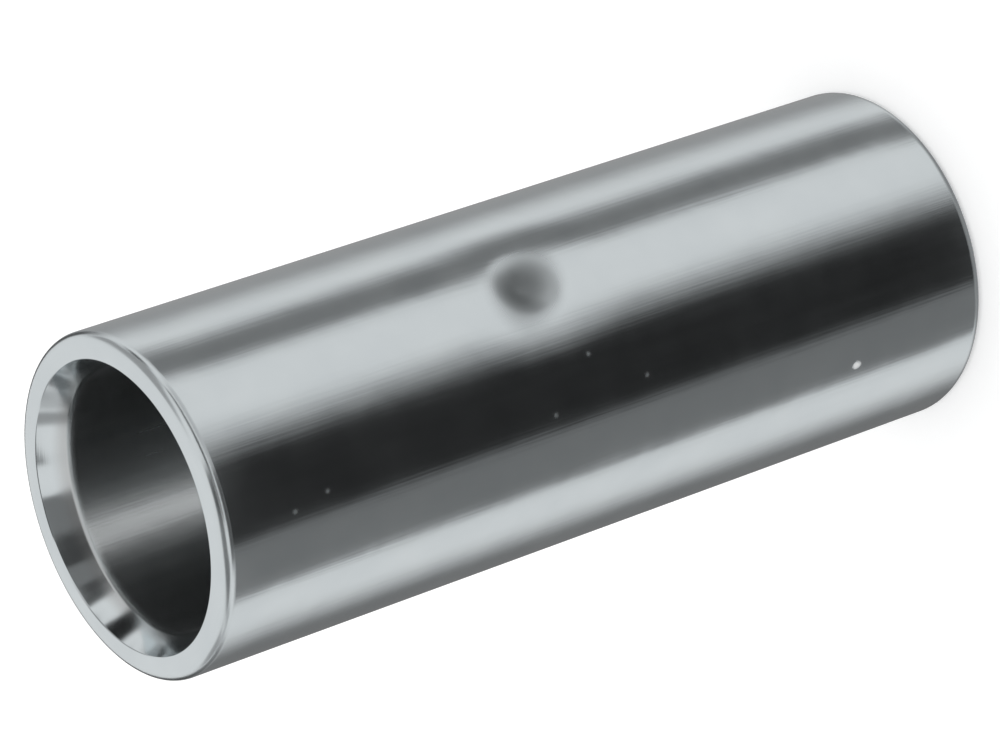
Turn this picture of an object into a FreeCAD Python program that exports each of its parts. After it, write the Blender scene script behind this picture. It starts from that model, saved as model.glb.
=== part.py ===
import FreeCAD, Part
import math
import os
from FreeCAD import Vector

# Butt splice connector for stranded cable: one seamless copper tube, tinned all over,
# with a mouth at each end that takes a stripped wire and a dimple that stops both.
# It stands on its lower end: +Z runs up the bore and the dimple faces -Y.
# All sizes are in millimetres, and each one below can be changed by itself.

# The drawn tube.
LENGTH = 38.6
BORE_DIAMETER = 10.8
WALL = 1.7

# The two wire entries: a short cone widens the bore so that loose strands find it.
ENTRY_DEPTH = 1.3
ENTRY_FLARE = 0.65
ENTRY_EDGE_ROUND = 1.0

# The outer corner of each end is rounded, so that it can't nick a cable's sheath.
CORNER_ROUND = 0.45

# The wire stop: a blunt punch presses the wall in, a little above the middle.
STOP_ABOVE_MIDDLE = 2.2
DIMPLE_RADIUS = 2.1
DIMPLE_DEPTH = 0.45
BUMP_RADIUS = 2.0
BUMP_HEIGHT = 0.5
PLAIN_WALL_BESIDE_STOP = 0.5

bore_radius = BORE_DIAMETER / 2
outer_radius = bore_radius + WALL
mouth_radius = bore_radius + ENTRY_FLARE

stop_height = LENGTH / 2 + STOP_ABOVE_MIDDLE
pressed_half_height = max(DIMPLE_RADIUS, BUMP_RADIUS) + PLAIN_WALL_BESIDE_STOP
pressed_bottom = stop_height - pressed_half_height
pressed_top = stop_height + pressed_half_height

origin = Vector(0, 0, 0)
bore_axis = Vector(0, 0, 1)
exact = 1e-7


def eased_corner(before, corner, after, radius):
    """Where an arc of this radius starts, peaks and ends between two straight runs."""
    back = (before - corner).normalize()
    ahead = (after - corner).normalize()
    half_angle = back.getAngle(ahead) / 2
    setback = radius / math.tan(half_angle)
    rise = radius / math.sin(half_angle) - radius
    peak = corner + (back + ahead).normalize() * rise
    return corner + back * setback, peak, corner + ahead * setback


def eased_outline(corners):
    """A closed outline of straight runs, with an arc at each corner that has a radius."""
    bends = []
    for index, (corner, radius) in enumerate(corners):
        before = corners[index - 1][0]
        after = corners[(index + 1) % len(corners)][0]
        bends.append(eased_corner(before, corner, after, radius))
    pieces = []
    for index, (start, peak, end) in enumerate(bends):
        if corners[index][1] > 0:
            pieces.append(Part.Arc(start, peak, end).toShape())
        next_start = bends[(index + 1) % len(bends)][0]
        pieces.append(Part.makeLine(end, next_start))
    return Part.Wire(pieces)


def turned_end(length):
    """One end of the tube, from its face at height 0 up to a plain cut at this length."""
    section = eased_outline([
        (Vector(0, mouth_radius, 0), 0),
        (Vector(0, outer_radius, 0), CORNER_ROUND),
        (Vector(0, outer_radius, length), 0),
        (Vector(0, bore_radius, length), 0),
        (Vector(0, bore_radius, ENTRY_DEPTH), ENTRY_EDGE_ROUND),
    ])
    return Part.Face(section).revolve(origin, bore_axis, 360)


def bell(distance, reach):
    """1 at the punch's centre, and 0 where its reach ends, with a soft brim like a bell's."""
    wave = 0.5 + 0.5 * math.cos(math.pi * distance / reach)
    return wave ** 2


def press(side, radius, reach, depth):
    """Push the control net of a round side in under the bell curve, as deep as stated."""
    pressed = []
    for row in range(1, side.NbUPoles + 1):
        for column in range(1, side.NbVPoles + 1):
            point = side.getPole(row, column)
            distance = math.hypot(point.x, point.z - stop_height)
            if point.y < 0 and distance < reach:
                pressed.append((row, column, point, bell(distance, reach)))
    lowest = side.parameter(Vector(0, -radius, stop_height))
    push = depth
    # The wall lies a little short of its net, so the second push makes up the rest.
    for _ in range(2):
        for row, column, point, share in pressed:
            side.setPole(row, column, point + Vector(0, push * share, 0))
        push *= depth / (radius + side.value(*lowest).y)


def pressed_core(radius, reach, depth, spans=8):
    """A round core between the two plain ends, its side pressed towards +Y at the stop.

    The side starts as an exact cylinder whose seam lies at the back, and gets a finer
    net of control points where the punch reaches. One more span past the reach on each
    side keeps the rest of the circle exact.
    """
    height = pressed_top - pressed_bottom
    blank = Part.makeCylinder(radius, height, Vector(0, 0, pressed_bottom))
    blank.rotate(origin, bore_axis, 90)
    side = blank.toNurbs().Faces[0].Surface
    side.increaseDegree(3, 3)
    front = -math.sqrt(radius ** 2 - reach ** 2)
    left, low = side.parameter(Vector(-reach, front, stop_height - reach))
    right, high = side.parameter(Vector(reach, front, stop_height + reach))
    around = [left + (right - left) * step / spans for step in range(-1, spans + 2)]
    upward = [low + (high - low) * step / spans for step in range(spans + 1)]
    side.insertUKnots(around, [1] * len(around), exact)
    side.insertVKnots(upward, [1] * len(upward), exact)
    press(side, radius, reach, depth)
    wall = side.toShape()
    rims = [edge for edge in wall.Edges if edge.isClosed()]
    caps = [Part.Face(Part.Wire(edge)) for edge in rims]
    core = Part.Solid(Part.makeShell([wall] + caps))
    core.fix(exact, exact, exact)
    return core


def splice_barrel():
    """The whole tube: two turned ends and the pressed stretch between them."""
    lower = turned_end(pressed_bottom)
    upper = turned_end(LENGTH - pressed_top)
    upper.rotate(origin, Vector(0, 1, 0), 180)
    upper.translate(Vector(0, 0, LENGTH))
    outside = pressed_core(outer_radius, DIMPLE_RADIUS, DIMPLE_DEPTH)
    inside = pressed_core(bore_radius, BUMP_RADIUS, BUMP_HEIGHT)
    pressed = outside.cut(inside)
    return lower.fuse([pressed, upper]).Solids[0]


barrel = splice_barrel()
os.makedirs("parts", exist_ok=True)
barrel.exportStep("parts/splice_barrel.step")
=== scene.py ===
import math

import bmesh
import bpy
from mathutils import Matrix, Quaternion, Vector


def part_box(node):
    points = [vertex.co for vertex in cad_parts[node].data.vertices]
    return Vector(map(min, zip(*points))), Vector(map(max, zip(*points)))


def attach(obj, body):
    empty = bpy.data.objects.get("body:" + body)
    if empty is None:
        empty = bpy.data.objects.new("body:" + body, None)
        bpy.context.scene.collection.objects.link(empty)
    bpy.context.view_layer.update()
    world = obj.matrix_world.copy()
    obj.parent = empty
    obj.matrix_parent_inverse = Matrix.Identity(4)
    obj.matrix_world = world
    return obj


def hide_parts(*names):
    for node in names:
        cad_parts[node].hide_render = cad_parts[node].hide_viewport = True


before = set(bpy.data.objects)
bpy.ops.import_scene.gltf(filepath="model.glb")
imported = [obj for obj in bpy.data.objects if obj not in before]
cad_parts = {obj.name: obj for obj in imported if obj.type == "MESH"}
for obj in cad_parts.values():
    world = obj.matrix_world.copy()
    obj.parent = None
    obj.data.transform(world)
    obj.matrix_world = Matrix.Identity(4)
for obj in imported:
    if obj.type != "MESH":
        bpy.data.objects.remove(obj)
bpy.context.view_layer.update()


# The barrel is one length of seamless copper tube, cut off and tinned all over.
# A lathe opens each mouth with a short cone and rounds the outer corner of each end,
# and a blunt punch presses the wire stop into the wall a little above the middle.
tube_low, tube_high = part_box("splice_barrel")
length = tube_high.z - tube_low.z
outer_radius = (tube_high.x - tube_low.x) / 2
bore_radius = 0.0054
mouth_radius = 0.00605
entry_depth = 0.0013
entry_edge_round = 0.00025
mouth_edge_round = 0.00006
corner_round = 0.00045

stop_height = length / 2 + 0.0022
pressed_half_height = 0.0045
dimple_radius = 0.0021
dimple_depth = 0.00045
sag_radius = 0.0044
sag_depth = 0.00012
bump_radius = 0.0020
bump_height = 0.0005

rows_in_pressed_stretch = 64
steps_around = 300

mesh = bpy.data.meshes.new("barrel")
bm = bmesh.new()

# Half of the wall's section, from the middle up the bore, over the cut face and back
# down the outside, with the setback of each rounded corner. The lower half mirrors it.
upper_half = [
    (bore_radius, stop_height - pressed_half_height, 0),
    (bore_radius, stop_height + pressed_half_height, 0),
    (bore_radius, length - entry_depth, entry_edge_round),
    (mouth_radius, length, mouth_edge_round),
    (outer_radius, length, corner_round),
    (outer_radius, stop_height + pressed_half_height, 0),
    (outer_radius, stop_height - pressed_half_height, 0),
]
lower_half = [
    (outer_radius, 0, corner_round),
    (mouth_radius, 0, mouth_edge_round),
    (bore_radius, entry_depth, entry_edge_round),
]
section = upper_half + lower_half
corners = [bm.verts.new((radius, 0, height)) for radius, height, _ in section]
for index, corner in enumerate(corners):
    bm.edges.new((corner, corners[(index + 1) % len(corners)]))

for corner, (_, _, setback) in zip(corners, section):
    if setback:
        bmesh.ops.bevel(
            bm, geom=[corner], offset=setback, offset_type="OFFSET", segments=8,
            profile=0.5, affect="VERTICES", material=-1,
        )

# The wall gets short rows where the punch presses it, and longer ones elsewhere.
pressed_edges = [
    edge for edge in bm.edges
    if all(abs(vert.co.z - stop_height) < 1.01 * pressed_half_height for vert in edge.verts)
]
bmesh.ops.subdivide_edges(bm, edges=pressed_edges, cuts=rows_in_pressed_stretch - 1)
plain_edges = [edge for edge in bm.edges if edge.calc_length() > 0.005]
bmesh.ops.subdivide_edges(bm, edges=plain_edges, cuts=5)

bmesh.ops.spin(
    bm, geom=bm.verts[:] + bm.edges[:], cent=(0, 0, 0), axis=(0, 0, 1), dvec=(0, 0, 0),
    angle=math.tau, steps=steps_around, use_merge=True, use_duplicate=False,
)
bmesh.ops.recalc_face_normals(bm, faces=bm.faces)


# The punch comes from -Y. Its dimple outside and the bump in the bore share one centre,
# and the wall round the dimple sags with it by a tenth of a millimetre.
def pressed_by(vert, reach, depth, sharpness):
    distance = math.hypot(vert.co.x, vert.co.z - stop_height)
    if vert.co.y > 0 or distance >= reach:
        return 0
    return depth * (0.5 + 0.5 * math.cos(math.pi * distance / reach)) ** sharpness


wall_middle = (bore_radius + outer_radius) / 2
for vert in bm.verts:
    if math.hypot(vert.co.x, vert.co.y) > wall_middle:
        dimple = pressed_by(vert, dimple_radius, dimple_depth, 2)
        sag = pressed_by(vert, sag_radius, sag_depth, 1)
        vert.co.y += dimple + sag
    else:
        vert.co.y += pressed_by(vert, bump_radius, bump_height, 2)

for face in bm.faces:
    face.smooth = True
bm.to_mesh(mesh)
bm.free()

barrel = bpy.data.objects.new("barrel", mesh)
bpy.context.scene.collection.objects.link(barrel)
barrel.modifiers.new("flat faces stay flat", "WEIGHTED_NORMAL")


def feed(tree, socket, value):
    if isinstance(value, bpy.types.NodeSocket):
        tree.links.new(value, socket)
    else:
        socket.default_value = value


def calculate(tree, operation, *values):
    node = tree.nodes.new("ShaderNodeMath")
    node.operation = operation
    for socket, value in zip(node.inputs, values):
        feed(tree, socket, value)
    return node.outputs["Value"]


def move(tree, operation, *vectors):
    node = tree.nodes.new("ShaderNodeVectorMath")
    node.operation = operation
    for socket, vector in zip(node.inputs, vectors):
        feed(tree, socket, vector)
    return node.outputs["Value" if operation in ("LENGTH", "DISTANCE") else "Vector"]


def split(tree, vector):
    node = tree.nodes.new("ShaderNodeSeparateXYZ")
    tree.links.new(vector, node.inputs["Vector"])
    return node.outputs


def rise(tree, value, start, end):
    node = tree.nodes.new("ShaderNodeMapRange")
    node.interpolation_type = "SMOOTHSTEP"
    tree.links.new(value, node.inputs["Value"])
    node.inputs["From Min"].default_value = start
    node.inputs["From Max"].default_value = end
    return node.outputs["Result"]


def noise(tree, vector, scale, detail):
    node = tree.nodes.new("ShaderNodeTexNoise")
    tree.links.new(vector, node.inputs["Vector"])
    node.inputs["Scale"].default_value = scale
    node.inputs["Detail"].default_value = detail
    return node.outputs["Fac"]


# An effect is a group that reads the place on the tube and gives numbers from 0 to 1.
def effect(name, *outputs):
    tree = bpy.data.node_groups.new(name, "ShaderNodeTree")
    tree.interface.new_socket(name="Place", in_out="INPUT", socket_type="NodeSocketVector")
    for output in outputs:
        tree.interface.new_socket(name=output, in_out="OUTPUT", socket_type="NodeSocketFloat")
    place = tree.nodes.new("NodeGroupInput").outputs["Place"]
    return tree, place, tree.nodes.new("NodeGroupOutput").inputs


# Fine lines along the tube, left by the die that it was drawn through: noise that is
# squeezed round the axis and stretched along it.
tree, place, results = effect("drawn lines", "Lines")
around = move(tree, "NORMALIZE", move(tree, "MULTIPLY", place, (1, 1, 0)))
along = move(tree, "MULTIPLY", place, (0, 0, 140))
fine = noise(tree, move(tree, "MULTIPLY_ADD", around, (55, 55, 0), along), 1, 2)
broad = noise(tree, move(tree, "MULTIPLY_ADD", around, (13, 13, 0), along), 1, 1)
both = calculate(tree, "MULTIPLY_ADD", broad, 0.6, calculate(tree, "MULTIPLY", fine, 0.4))
feed(tree, results["Lines"], both)

# Rings round the axis, where the lathe cut the face, the mouth and the outer corner.
tree, place, results = effect("turned rings", "Turned", "Rings", "Rounded", "Bore greyed and shaded")
rings_per_metre = 16000
rounding_starts = outer_radius - corner_round
height = split(tree, place)["Z"]
radius = move(tree, "LENGTH", move(tree, "MULTIPLY", place, (1, 1, 0)))
from_end = calculate(tree, "MINIMUM", height, calculate(tree, "SUBTRACT", length, height))
corner = rise(tree, from_end, corner_round + 0.00003, corner_round - 0.00005)
cone = rise(tree, from_end, entry_depth + 0.00002, entry_depth - 0.0001)
inside = rise(tree, radius, rounding_starts - 0.00005, rounding_starts - 0.00025)
outside = rise(tree, radius, rounding_starts - 0.00002, rounding_starts + 0.0001)
turned = calculate(tree, "MAXIMUM", corner, calculate(tree, "MULTIPLY", cone, inside))
feed(tree, results["Turned"], turned)
feed(tree, results["Rounded"], calculate(tree, "MULTIPLY", corner, outside))
travel = tree.nodes.new("ShaderNodeCombineXYZ")
run = calculate(tree, "ADD", radius, height)
feed(tree, travel.inputs["Z"], calculate(tree, "MULTIPLY", run, rings_per_metre))
cuts = move(tree, "MULTIPLY_ADD", place, (90, 90, 0), travel.outputs["Vector"])
feed(tree, results["Rings"], noise(tree, cuts, 1, 1))
# Inside the bore the tin is greyer, and darker as painted shade in the bore.
bore_grey_and_shade = rise(tree, radius, bore_radius + 0.0004, bore_radius + 0.0001)
feed(tree, results["Bore greyed and shaded"], bore_grey_and_shade)

# Soft clouds, where the tin ran a little thicker and duller.
tree, place, results = effect("tin clouds", "Clouds")
feed(tree, results["Clouds"], noise(tree, place, 420, 2))

# Where the punch struck, the tin is scuffed dull, and its colour is darkened there as painted
# shade of the dimple, a little longer one way.
tree, place, results = effect("dimple scuff and painted shade", "Scuffed and shaded")
punch = tree.nodes.new("ShaderNodeMapping")
punch.vector_type = "TEXTURE"
feed(tree, punch.inputs["Vector"], place)
punch.inputs["Location"].default_value = (0, -outer_radius, stop_height)
punch.inputs["Rotation"].default_value = (0, math.radians(45), 0)
punch.inputs["Scale"].default_value = (1.25, 1, 0.9)
from_punch = move(tree, "LENGTH", punch.outputs["Vector"])
feed(tree, results["Scuffed and shaded"], rise(tree, from_punch, dimple_radius, 0.0002))

# A few faint specks on the front, and one small white, matt speck near the lower end.
tree, place, results = effect("faint and white specks", "Specks", "White")
specks = 0
for faint_speck in (
    (-0.00507, -0.00497, 0.0352), (-0.00481, -0.00522, 0.0336), (-0.00339, -0.00624, 0.0203),
    (-0.00493, -0.00511, 0.0225), (-0.00468, -0.00534, 0.0178),
):
    from_speck = move(tree, "DISTANCE", place, faint_speck)
    specks = calculate(tree, "MAXIMUM", specks, rise(tree, from_speck, 0.00018, 0.00002))
feed(tree, results["Specks"], specks)
white_speck = Vector((-0.00635, -0.00318, 0.00692))
stretch = Vector((1, 1, 0.75))
offset = move(tree, "MULTIPLY_ADD", place, stretch, -white_speck * stretch)
ragged_edge = calculate(tree, "MULTIPLY", noise(tree, place, 5000, 1), 0.00016)
from_speck = calculate(tree, "ADD", ragged_edge, move(tree, "LENGTH", offset))
feed(tree, results["White"], rise(tree, from_speck, 0.00032, 0.00014))

tin = bpy.data.materials.new("drawn_tin")
tin.use_nodes = True
tree = tin.node_tree
shader = tree.nodes["Principled BSDF"]
place = tree.nodes.new("ShaderNodeTexCoord").outputs["Object"]
marks = {}
for name in ("drawn lines", "turned rings", "tin clouds", "dimple scuff and painted shade", "faint and white specks"):
    node = tree.nodes.new("ShaderNodeGroup")
    node.node_tree = bpy.data.node_groups[name]
    feed(tree, node.inputs["Place"], place)
    marks.update(node.outputs.items())


def blend(tree, share, first, second):
    node = tree.nodes.new("ShaderNodeMix")
    node.data_type = "RGBA"
    feed(tree, node.inputs["Factor"], share)
    feed(tree, node.inputs["A"], first)
    feed(tree, node.inputs["B"], second)
    return node.outputs["Result"]


colour = blend(tree, marks["Clouds"], (0.695, 0.745, 0.770, 1), (0.795, 0.845, 0.860, 1))
# Inside the bore the colour is greyer, and darker as painted shade.
colour = blend(tree, marks["Bore greyed and shaded"], colour, (0.63, 0.65, 0.655, 1))
# Painted shade: the tin's colour is darkened in the dimple, standing for the shade there.
colour = blend(tree, marks["Scuffed and shaded"], colour, (0.25, 0.265, 0.27, 1))
colour = blend(tree, marks["White"], colour, (0.76, 0.77, 0.77, 1))
feed(tree, shader.inputs["Base Color"], colour)
specks = calculate(tree, "MULTIPLY_ADD", marks["Specks"], 0.05, marks["White"])
feed(tree, shader.inputs["Metallic"], calculate(tree, "SUBTRACT", 1, specks))

roughness = 0.11
for mark, share in (
    ("Clouds", 0.06), ("Lines", 0.08), ("Turned", -0.07), ("Rounded", 0.12), ("Bore greyed and shaded", 0.07),
    ("Scuffed and shaded", 0.42), ("Specks", 0.12), ("White", 0.35),
):
    roughness = calculate(tree, "MULTIPLY_ADD", marks[mark], share, roughness)
feed(tree, shader.inputs["Roughness"], roughness)

rings = calculate(tree, "MULTIPLY", marks["Rings"], marks["Turned"])
drawn = calculate(tree, "SUBTRACT", 1, marks["Turned"])
lines = calculate(tree, "MULTIPLY", marks["Lines"], drawn)
surface = None
for mark, depth in (
    (marks["Clouds"], 0.000013), (lines, 0.000005), (rings, 0.0000005),
    (marks["Specks"], -0.000002), (marks["White"], 0.000003),
):
    bump = tree.nodes.new("ShaderNodeBump")
    bump.inputs["Distance"].default_value = depth
    feed(tree, bump.inputs["Height"], mark)
    if surface:
        feed(tree, bump.inputs["Normal"], surface)
    surface = bump.outputs["Normal"]
feed(tree, shader.inputs["Normal"], surface)
mesh.materials.append(tin)

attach(barrel, "root")
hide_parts("splice_barrel")


# The floor is a plain pale sheet. It shows as white, and keeps the tube's soft shadow.
bm = bmesh.new()
bmesh.ops.create_grid(bm, x_segments=1, y_segments=1, size=4)
floor_mesh = bpy.data.meshes.new("floor")
bm.to_mesh(floor_mesh)
bm.free()
floor = bpy.data.objects.new("floor", floor_mesh)
bpy.context.scene.collection.objects.link(floor)
floor.visible_glossy = False

paper = bpy.data.materials.new("white_paper")
paper.use_nodes = True
tree = paper.node_tree
matt = tree.nodes["Principled BSDF"]
matt.inputs["Base Color"].default_value = (0.9, 0.9, 0.9, 1)
matt.inputs["Roughness"].default_value = 0.9
matt.inputs["Emission Color"].default_value = (1, 1, 1, 1)
rays = tree.nodes.new("ShaderNodeLightPath")
glow = calculate(tree, "MULTIPLY", rays.outputs["Is Camera Ray"], 0.3)
feed(tree, matt.inputs["Emission Strength"], glow)
floor_mesh.materials.append(paper)


# A dim strip lamp stands in the bore, for the light that comes up it from the far end
# when the tube lies free. Only the metal's reflections show it.
strip = bpy.data.lights.new("bore_strip", "AREA")
strip.shape = "RECTANGLE"
strip.size = 0.0010
strip.size_y = 0.036
strip.energy = 0.000085
bore_lamp = bpy.data.objects.new("bore_strip", strip)
bpy.context.scene.collection.objects.link(bore_lamp)
bore_lamp.location = (0.0006, -0.0002, 0.0192)
bore_lamp.rotation_mode = "QUATERNION"
bore_lamp.rotation_quaternion = Vector((0.21, 0.98, 0)).to_track_quat("-Z", "Y")
bore_lamp.visible_camera = False
bore_lamp.visible_diffuse = False


# The studio round the tube: white walls over darker ground, and the cards that the metal
# mirrors. A card has four bearings, counted from the camera's side, and four heights, all
# in degrees: where it starts to show, where it is full, where it fades and where it ends.
camera_side = math.radians(-27.05)
ground_ends = -62
walls_start = -44
black = 0.017
charcoal = 0.05
dark = 0.18
ground = 0.27
grey = 0.33
pale = 0.50
white = 0.76

below = (ground_ends, walls_start, -23, -14)
level = (-23, -14, 2, 5)
above = (32, 35, 64, 76)
cards = (
    # Below the mouth: the black card, the greys beside it and the dim room behind.
    (dark, (-86, -82, -41, -30), below),
    (black, (-49, -41, 3, 38), below),
    (dark, (65, 77, 89, 108), below),
    (grey, (108, 142, 180, 181), below),
    (dark, (-181, -180, -142, -104), below),
    # Level with the mouth.
    (dark, (-181, -180, -120, -98), level),
    (charcoal, (-181, -180, -148, -132), level),
    (charcoal, (112, 142, 180, 181), level),
    (charcoal, (-60, -48, 1, 9), level),
    (pale, (4, 14, 58, 68), level),
    # Over the mouth: the camera's dark side, and small cards that its cone shows.
    (dark, (-29, -25, 46, 50), (13, 16, 30, 34)),
    (charcoal, (44, 48, 61, 64), (13, 16, 24, 28)),
    (charcoal, (0, 9, 27, 31), (14, 18, 30, 34)),
    (black, (80, 83, 98, 104), (3, 5, 18, 21)),
    (pale, (-120, -110, -100, -92), (-1, 2, 12, 16)),
    (grey, (-96, -91, -86, -80), (2, 5, 19, 23)),
    (grey, (-141, -130, -112, -102), (6, 10, 28, 34)),
    (grey, (106, 114, 128, 140), (6, 10, 24, 28)),
    # High up, round the lamps.
    (dark, (-98, -86, -54, -49), (21, 24, 64, 76)),
    (dark, (-56, -50, -28, -20), above),
    (charcoal, (-34, -24, 2, 11), above),
    (grey, (66, 76, 118, 140), (19, 22, 64, 76)),
)

world = bpy.data.worlds.new("studio")
bpy.context.scene.world = world
world.use_nodes = True
tree = world.node_tree

turned = tree.nodes.new("ShaderNodeMapping")
turned.inputs["Rotation"].default_value = (0, 0, math.pi / 2 - camera_side)
feed(tree, turned.inputs["Vector"], tree.nodes.new("ShaderNodeTexCoord").outputs["Generated"])
direction = split(tree, turned.outputs["Vector"])
angle = calculate(tree, "ARCTAN2", direction["Y"], direction["X"])
bearing = calculate(tree, "DEGREES", angle)
elevation = calculate(tree, "DEGREES", calculate(tree, "ARCSINE", direction["Z"]))


def between(tree, value, edges):
    shows, full, fades, ends = edges
    return calculate(
        tree, "MULTIPLY", rise(tree, value, shows, full), rise(tree, value, ends, fades),
    )


walls = rise(tree, elevation, ground_ends, walls_start)
studio = blend(tree, walls, (ground, ground, ground, 1), (white, white, white, 1))
for tone, bearings, heights in cards:
    across = between(tree, bearing, bearings)
    upward = between(tree, elevation, heights)
    share = calculate(tree, "MULTIPLY", across, upward)
    studio = blend(tree, share, studio, (tone, tone, tone, 1))

rays = tree.nodes.new("ShaderNodeLightPath")
seen = blend(tree, rays.outputs["Is Glossy Ray"], (1, 1, 1, 1), studio)
feed(tree, tree.nodes["Background"].inputs["Color"], seen)


# The camera looks down on the tube from above one side of the dimple, rolled over so
# that the tube lies across the picture.
aim = Vector((0.00014, -0.00007, 0.01993))
distance = 0.22338
lift = math.radians(33.27)
roll = math.radians(-108.9)
back = Vector((
    math.sin(camera_side) * math.cos(lift),
    -math.cos(camera_side) * math.cos(lift),
    math.sin(lift),
))
lens = bpy.data.cameras.new("camera")
lens.lens = 197.7
lens.sensor_width = 36
lens.clip_start = 0.01
lens.clip_end = 20
camera = bpy.data.objects.new("camera", lens)
bpy.context.scene.collection.objects.link(camera)
camera.rotation_mode = "QUATERNION"
camera.location = aim + back * distance
camera.rotation_quaternion = (-back).to_track_quat("-Z", "Y") @ Quaternion((0, 0, 1), roll)
bpy.context.scene.camera = camera

bpy.context.scene.view_settings.view_transform = "Standard"
